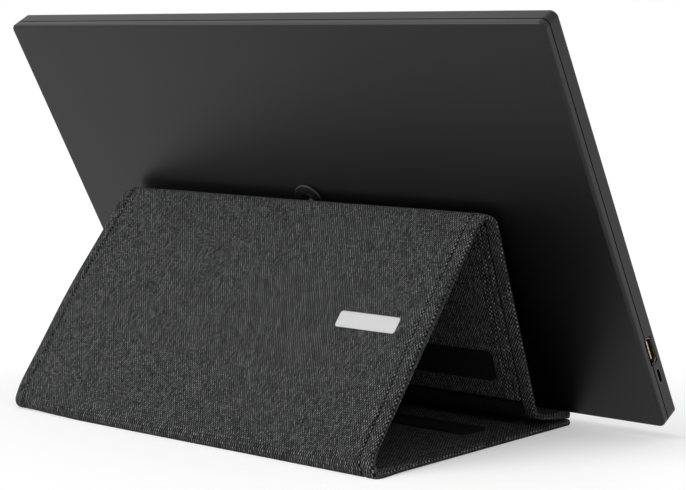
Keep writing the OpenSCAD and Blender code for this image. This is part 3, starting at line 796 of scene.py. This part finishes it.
def side_spans(begin, end):
    return [span_along(x, s, depth, sign * outward(station(s)[1]))
            for x in (seam_in - half_width, half_width - seam_in)
            for s in even_steps(begin, end)
            for depth, sign in ((stitch_sink, 1), (panel_thick - stitch_sink, -1))]


def hem_spans(s):
    return [span_across(x, s, depth, sign * outward(station(s)[1]))
            for x in even_steps(seam_in - half_width, half_width - seam_in)
            for depth, sign in ((hem_stitch_sink, 1), (panel_thick - hem_stitch_sink, -1))]


# %% [markdown]
# Four stiff panels ride on their own bodies. Each stands for the outer and the inner cloth of its
# panel, and the board and the lining stay inside as the CAD has them.

# %% The four panels
panel_step = 4 * MM
clear_of_hem = 8 * MM


def attach(piece, slot, body, *stands_for):
    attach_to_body(piece, body)
    if stands_for:
        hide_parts(*stands_for)
    return piece


def panel(name, body, begin, end, stands_for, free_end=None, lining=None, inside=inner_depth):
    rings, around, along = cloth_rings(begin, end, panel_step, free_end, inside)
    finishes = [sleeve_cloth, lining or inner_cloth]
    piece = ring_piece(name, rings, around, along, finishes, inner_columns)
    attach(piece, "sleeve_cloth", body, *stands_for)
    seam_begin = begin + (free_end == begin) * clear_of_hem
    spans = side_spans(seam_begin, end - (free_end == end) * clear_of_hem)
    if free_end is not None:
        spans += hem_spans(abs(free_end - seam_in))
    attach(stitch_piece(name + "_stitches", spans), "sleeve_cloth", body)
    print(name, "faces:", len(piece.data.polygons), "stitches:", len(spans))


panel("base_panel", "base", 0.0, marks["base"] - fold_slack,
      ["base_outer_cloth", "base_inner_cloth"], 0.0)
panel("rear_panel", "rear", marks["foot"] + fold_slack, marks["rear"] - fold_slack,
      ["rear_outer_cloth", "rear_inner_cloth"])
# The lean panel's inner face takes the dark lining cloth: below the pocket's hem it is partly the lining's own
# colour and partly painted shade of the pocket's mouth.
panel("lean_panel", "lean", marks["apex"] + fold_slack, marks["lean"] - fold_slack,
      ["lean_outer_cloth"], lining=lining_and_painted_shade, inside=pocket_depth)
panel("toe_flap", "toe", marks["crease"] + fold_slack, marks["toe"],
      ["toe_outer_cloth", "toe_inner_cloth"], marks["toe"])

# %% [markdown]
# Three folds join them. A fold is cloth alone, built between the two end sections of its
# neighbouring panels, so its first and last rows meet the panels exactly and no gap opens.

# %% The three folds
fold_step = 0.6 * MM


def fold(name, begin_mark, end_mark, centre, inner_radius, stands_for, lining):
    begin, end = marks[begin_mark] - fold_slack, marks[end_mark] + fold_slack
    rings, around, along = cloth_rings(begin, end, fold_step)
    cloth = ring_piece(name, rings, around, along, [sleeve_cloth, lining], inner_columns)
    seam = stitch_piece(name + "_stitches", side_spans(begin, end))
    angle_a, angle_b = station(marks[begin_mark])[1], station(marks[end_mark])[1]
    reach = inner_radius * math.sin(abs(angle_b - angle_a) / 2)
    run = (station(marks[end_mark])[0] - station(marks[begin_mark])[0]).normalized()
    for piece in (cloth, seam):
        centre - reach * run
        centre + reach * run
        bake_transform(piece)
    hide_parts(stands_for)


fold("foot_fold", "base", "foot", foot, foot_radius - panel_thick,
     "foot_fold_cloth", inner_cloth)
fold("top_fold", "rear", "apex", apex, apex_radius - panel_thick,
     "apex_fold_cloth", inner_cloth)
# The crease's inner side takes the dark lining cloth as painted shade of the fold's inside.
fold("toe_crease", "lean", "crease", crease_centre, crease_radius,
     "toe_crease_cloth", lining_and_painted_shade)

# %% [markdown]
# Flat pieces that lie on a panel, such as strips, the pocket's cloth and the print, share one
# builder: a plate with round corners whose two faces follow the panel, each at its own depth.

# %% Plate on a panel
rim_steps = (0.15, 0.5, 1)


def plate(name, middle, width, s0, s1, near, far, finish, corner, x_step, s_step, rim, drawn=True):
    shares = np.linspace(-1, 1, max(3, round(width / x_step) + 1)).tolist()
    inner_places = np.linspace(s0, s1, max(3, round((s1 - s0) / s_step) + 1)).tolist()
    borders = [s0 + b * rim for b in rim_steps] + [s1 - b * rim for b in rim_steps]
    side_shares = [sign * (1 - b * 2 * rim / width) for sign in (-1, 1) for b in rim_steps]
    shares = sorted(set(round(v, 6) for v in shares + side_shares))
    places = sorted(set(round(v, 7) for v in inner_places + borders))
    rings = []
    for s in places:
        to_end = min(s - s0, s1 - s)
        beside = max(0.0, corner - to_end)
        half = width / 2 - corner + math.sqrt(max(0.0, corner ** 2 - beside ** 2))
        low_side, high_side = [], []
        for share in shares:
            x = middle + share * half
            to_edge = min(to_end, half * (1 - abs(share)))
            lift = math.sqrt(max(0.0, 1 - (1 - min(1.0, to_edge / rim)) ** 2))
            base, top = near(x, s), far(x, s)
            low_side.append(on_sleeve(x, s, base, drawn))
            high_side.append(on_sleeve(x, s, base + (top - base) * max(lift, 0.1), drawn))
        rings.append(low_side + high_side[::-1])
    spread = [middle + share * width / 2 for share in shares]
    turned = [2 * spread[-1] - value + 2 * MM for value in reversed(spread)]
    around = [v + half_width for v in spread + turned + [turned[-1] + 2 * MM]]
    return ring_piece(name, rings, around, places, [finish])


# %% [markdown]
# The pocket's cloth hangs on the inner side of the lean panel, sewn in at three sides and open
# at the bottom, where it ends in a rolled hem. Beside both sewn sides it has small pleats,
# which let the pocket open when the monitor slides in. It is a sheet, so its cut size is given.

# %% Pocket cloth with pleats and hem
lean_length = 104 * MM
hem_up, hem_width, hem_rise = 8 * MM, 6 * MM, 0.5 * MM
pleat_pitch, pleat_rise = 3.1 * MM, 0.5 * MM
lean_zero = marks["apex"]
hem_end = lean_zero + lean_length - hem_up
hem_start = hem_end - hem_width
pocket_start = lean_zero + 1.6 * MM
pocket_floor = panel_thick - pocket_thick + 0.02 * MM


def pocket_far(x, s):
    inset = pocket_half - abs(x)
    pleats = smooth(inset / (0.8 * MM)) * (1 - smooth((inset - 8 * MM) / (2 * MM)))
    wave = 0.5 - 0.5 * math.cos(2 * math.pi * inset / pleat_pitch)
    depth = panel_thick - unevenness(x, s, 4.0) * 0.6 + pleat_rise * pleats * wave
    depth -= 0.6 * MM * pleats * (1 - wave) ** 2
    if s > hem_start - 1 * MM:
        share = (s - hem_start) / hem_width
        rolled = math.sqrt(max(0.0, math.sin(math.pi * min(1.0, max(0.0, share)))))
        depth += hem_rise * rolled - 0.35 * MM * hump(s - hem_start, 0.45 * MM)
    return depth


# %% [markdown]
# The pocket's cloth is one plate from the floor of the recess up to that depth, and a row of
# stitches holds the roll of its hem.

# %% The pocket's sheet and its hem stitches
pocket = plate("pocket_cloth", 0.0, 2 * pocket_half, pocket_start, hem_end, lambda x, s: pocket_floor,
               pocket_far, inner_cloth, 1 * MM, 0.6 * MM, 1.4 * MM, rim=0.45 * MM)
attach(pocket, "lining_cloth", "lean", "lean_inner_cloth", "lean_hem")
hem_end - pocket_start
hem_line = [span_across(x, hem_start + 0.2 * MM, panel_thick - 0.1 * MM, -outward(lean_angle))
            for x in even_steps(2 * MM - pocket_half, pocket_half - 2 * MM)]
attach(stitch_piece("pocket_hem_stitches", hem_line), "lining_cloth", "lean")
print("pocket cloth faces:", len(pocket.data.polygons))

# %% [markdown]
# Four hook and loop strips are sewn on the insides, each with a row of stitches round it. A fine
# noise lifts every point of the pile by a fraction of a millimetre, so its edge isn't ruled.

# %% Hook and loop strips
strip_thick = 0.8 * MM
strip_width = 2 * (half_width - 19 * MM)
strip_corner = 4 * MM
sewn_in = 1.7 * MM
tuft_size, tuft_rise = 1.1 * MM, 0.16 * MM


def pile_far(x, s):
    tuft = noise.noise(Vector((x / tuft_size, s / tuft_size, 3.0)))
    return panel_thick + strip_thick + tuft_rise * tuft - 0.2 * MM


def strip(name, body, s0, s1, finish, node):
    piece = plate(name, 0.0, strip_width, s0, s1, lambda x, s: panel_thick - 0.4 * MM, pile_far,
                  finish, strip_corner, 0.9 * MM, 0.9 * MM, rim=0.4 * MM)
    attach(piece, "hook_loop", body, node)
    side = strip_width / 2 - sewn_in
    depth = panel_thick + strip_thick - 0.12 * MM
    facing = -outward(station((s0 + s1) / 2)[1])
    spans = [span_across(x, s, depth, facing) for x in even_steps(strip_corner - side, side - strip_corner)
             for s in (s0 + sewn_in, s1 - sewn_in)]
    spans += [span_along(x, s, depth, facing) for s in even_steps(s0 + strip_corner, s1 - strip_corner)
              for x in (-side, side)]
    attach(stitch_piece(name + "_stitches", spans), "hook_loop", body)
    print(name, "faces:", len(piece.data.polygons), "stitches:", len(spans))


strip("lean_pile", "lean", lean_zero + 70 * MM, lean_zero + 86.5 * MM, loop_pile, "lean_loop_strip")
strip("base_pile", "base", 47 * MM, 67 * MM, loop_pile, "base_loop_strip")
strip("base_end_pile", "base", 15.5 * MM, 26.5 * MM, loop_pile, "base_end_strip")
toe_zero = marks["crease"] - crease_cut
strip("toe_pile", "toe", toe_zero + 4.8 * MM, toe_zero + 15.8 * MM, hook_pile, "toe_hook_strip")

# %% [markdown]
# A plain pale print sits low on the rear panel, near its right side. It is a thin film, so it
# stands only a tenth of a millimetre above the cloth.

# %% The print
print_low, print_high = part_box("rear_label")
print_middle = (print_low.x + print_high.x) / 2 - sleeve_middle
print_width = print_high.x - print_low.x
print_start, print_end = marks["foot"] + 66 * MM, marks["foot"] + 75 * MM
pale = plate("rear_print", print_middle, print_width, print_start, print_end,
             lambda x, s: outer_depth(x, s) + 0.1 * MM, lambda x, s: outer_depth(x, s) - 0.12 * MM,
             pale_print, 1.5 * MM, 1 * MM, 1 * MM, rim=0.12 * MM, drawn=False)
attach(pale, "label_print", "rear", "rear_label")
print("print, mm:", round(print_width * 1000, 1), "x", round((print_end - print_start) * 1000, 1))

# %% [markdown]
# The monitor's own directions come from its tripod mount. The mount marks the middle of the
# bore and looks straight out of the back, so the other axis in side view runs up the back. One
# sweep makes the parting line's painted shade, the socket's lip and the insert, which all close
# on themselves.

# %% The monitor's axes
mount = next(m for m in frame["record"]["mounts"] if m["name"] == "tripod_socket")
back_out = Vector(mount["axis"]).normalized()
back_up = Vector((0, -back_out.z, back_out.y))
insert_depth = mount["dims"]["length_mm"] * MM
insert_top = Vector(mount["pos_m"]) + insert_depth / 2 * back_out
pad_height, pad_up = 2 * MM, 122.289 * MM
monitor_foot = insert_top + 0.15 * MM * back_out - pad_height * back_out - pad_up * back_up
case_width, case_height, case_corner = 360 * MM, 226.0125 * MM, 3.6 * MM
print("lower edge of the back:", [round(v * 1000, 2) for v in monitor_foot])


def on_case(x, up, depth):
    """A point of the monitor: x across, up along the back, depth in from the back face."""
    return monitor_foot + Vector((x, 0, 0)) + up * back_up - depth * back_out


def closed_sweep(name, sections, finish):
    """Sections that run once round an axis and meet the first one again."""
    points = [p for section in sections for p in section]
    row = len(sections[0])
    faces = []
    for k in range(len(sections)):
        a, b = k * row, (k + 1) % len(sections) * row
        faces += [(a + i, a + (i + 1) % row, b + (i + 1) % row, b + i) for i in range(row)]
    return make_piece(name, points, faces, [finish])


# %% [markdown]
# Where the back cover meets the housing, a thin dark parting line runs round all four sides. A
# narrow near-black strip in the gap is painted shade: it stands for the shadow inside the gap and
# keeps the line visible from far away.

# %% Parting line and its painted shade
arc_steps = 12


def case_outline(inset):
    """Places x and up round the case, with its corners as arcs."""
    places = []
    radius = case_corner - inset
    for cx, cy, first in ((1, 1, 0), (-1, 1, 1), (-1, -1, 2), (1, -1, 3)):
        corner_x = cx * (case_width / 2 - case_corner)
        corner_up = case_height / 2 + cy * (case_height / 2 - case_corner)
        for k in range(arc_steps + 1):
            turn = (first + k / arc_steps) * math.pi / 2
            places.append((corner_x + radius * math.cos(turn), corner_up + radius * math.sin(turn)))
    return places


seam_depth, parting_shade_half = 4.575 * MM, 0.3 * MM
near_edge, far_edge = seam_depth - parting_shade_half, seam_depth + parting_shade_half
# A thin near-black ring in the parting gap, painted shade of the gap.
parting_shade_rings = [[on_case(x0, up0, near_edge), on_case(x0, up0, far_edge),
                 on_case(x1, up1, far_edge), on_case(x1, up1, near_edge)]
                for (x0, up0), (x1, up1) in zip(case_outline(-0.02 * MM), case_outline(0.5 * MM))]
attach(closed_sweep("painted_parting_shade", parting_shade_rings, seam_shadow), "black_tape", "monitor")
print("sections of the gasket:", len(parting_shade_rings))

# %% [markdown]
# The side sockets sit in the monitor's left edge as seen from behind. The large one gets plated
# contacts on its tongue, which are plain blocks in the monitor's own directions.

# %% Contacts of the video socket
video_up, video_depth = 42.5 * MM, 6.875 * MM
contact_half, contact_length = 0.68 * MM, 5 * MM
contact_spans = ((-5.2, -2.7), (-2.4, -0.2), (0.2, 2.4), (2.7, 5.2))
block_faces = [(0, 1, 3, 2), (4, 6, 7, 5), (0, 4, 5, 1), (2, 3, 7, 6), (0, 2, 6, 4), (1, 5, 7, 3)]
tongue_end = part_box("video_socket_tongue")[0].x
for index, span in enumerate(contact_spans):
    block = [on_case(x, video_up + up * MM, video_depth + depth)
             for x in (tongue_end - 0.12 * MM, tongue_end + contact_length)
             for up in span for depth in (-contact_half, contact_half)]
    contact = make_piece(f"video_contact_{index}", block, block_faces, [contact_plate])
    attach(contact, "gilt_contacts", "monitor")
print("contacts:", len(contact_spans))

# %% [markdown]
# The small oval socket gets a steel lip that shows round its opening. Its section is a
# rectangle that goes round two half circles.

# %% Lip of the oval socket
oval_up, oval_depth = 26.8 * MM, 7.72 * MM
oval_width, oval_height = 8.34 * MM, 2.56 * MM
lip, lip_front, lip_back = 0.3 * MM, -179.9 * MM, -178 * MM
lip_steps = 48
lip_sections = []
for k in range(lip_steps):
    turn = 2 * math.pi * k / lip_steps
    shift = math.copysign((oval_width - oval_height) / 2, math.cos(turn))
    section = []
    for x, grow in ((lip_front, 0), (lip_front, lip), (lip_back, lip), (lip_back, 0)):
        radius = oval_height / 2 + grow
        up = oval_up + shift + radius * math.cos(turn)
        section.append(on_case(x, up, oval_depth + radius * math.sin(turn)))
    lip_sections.append(section)
attach(closed_sweep("oval_lip", lip_sections, dark_steel), "socket_steel", "monitor")
print("sections of the lip:", len(lip_sections))

# %% [markdown]
# The tripod insert is turned metal with a real thread and a flange at its inner end. Its radius
# rises and falls once for each pitch, and the rise moves round with the angle, as a helix does.

# %% Threaded insert
thread_pitch, crest_radius, root_radius = 1.27 * MM, 2.55 * MM, 3.1 * MM
flange_radius, flange_thick, body_radius = 6.5 * MM, 1.2 * MM, 4.5 * MM
turn_steps, pitch_steps = 40, 8


def insert_profile(turn):
    """Radius and depth down the bore and back up outside, at one angle round the axis."""
    line = [(body_radius - 0.2 * MM, 0.0), (root_radius + 0.4 * MM, 0.0)]
    rows = int(insert_depth / thread_pitch * pitch_steps)
    for k in range(1, rows):
        depth = 0.35 * MM + (insert_depth - 0.7 * MM) * k / rows
        wave = abs(((depth / thread_pitch - turn / (2 * math.pi)) % 1) * 2 - 1)
        line.append((crest_radius + (root_radius - crest_radius) * wave, depth))
    flange_top = insert_depth - flange_thick
    line += [(root_radius + 0.2 * MM, insert_depth), (flange_radius, insert_depth),
             (flange_radius, flange_top), (body_radius, flange_top), (body_radius, 0.2 * MM)]
    return line


insert_sections = []
for k in range(turn_steps):
    turn = 2 * math.pi * k / turn_steps
    ray = Vector((math.cos(turn), 0, 0)) + math.sin(turn) * back_up
    insert_sections.append([insert_top + radius * ray - depth * back_out
                            for radius, depth in insert_profile(turn)])
threaded = closed_sweep("threaded_insert", insert_sections, dark_plating)
attach(threaded, "insert_brass", "monitor", "tripod_insert")
print("insert faces:", len(threaded.data.polygons))

# %% [markdown]
# The floor and the world are studio paper. The camera, reflections and rays through glass see
# them as white, while they light the object at a plain level, and the floor still takes the
# object's shadow.

# %% Floor
def seen_directly(finish):
    path = finish.node("ShaderNodeLightPath", {}, {}, out="Is Camera Ray")
    outputs = path.socket.node.outputs
    glossy, through = (Field(finish, outputs[k]) for k in ("Is Glossy Ray", "Is Transmission Ray"))
    return (path + glossy + through).clear()


def paper_grey(value):
    return (value, value, value, 1)


paper = Finish("floor_paper")
paper_grain = paper.speckle(paper.place(), 3 * MM) * 0.02
seen = seen_directly(paper)
paper_tone = paper.mix(seen, paper_grey(0.78), paper_grey(0.68))
paper_glow = paper.mix(seen, paper_grey(0.0), paper_grey(0.37))
paper.surface(Base_Color=paper_tone, Roughness=paper_grain + 0.8, Specular_IOR_Level=0.0,
              Emission_Color=paper_glow, Emission_Strength=1.0)
reach = 9
floor_corners = [Vector((x * reach, y * reach, 0)) for x, y in ((-1, -1), (1, -1), (1, 1), (-1, 1))]
make_piece("floor", floor_corners, [(0, 1, 2, 3)], [paper.material])

# %% [markdown]
# The sky gives most of the light, and a very wide sun from the upper left adds a soft direction.

# %% World and key light
studio = bpy.data.worlds.new("studio")
scene.world = studio
sky = Finish("studio", studio)
sky_strength, seen_strength, key_share = 0.66, 1.0, 0.36
strength = sky_strength + (seen_strength - sky_strength) * seen_directly(sky)
background = sky.node("ShaderNodeBackground", {}, {"Color": (1, 1, 1, 1), "Strength": strength})
sky.node("ShaderNodeOutputWorld", {}, {"Surface": background})

key_aim = Vector((-0.42, -0.62, -0.72)).normalized()
key = bpy.data.objects.new("key_light", bpy.data.lights.new("key_light", "SUN"))
key.data.energy = key_share * math.pi / -key_aim.z
key.data.angle = math.radians(45)
key.rotation_euler = key_aim.to_track_quat("-Z", "Y").to_euler()
scene.collection.objects.link(key)
scene.view_settings.view_transform = "Standard"
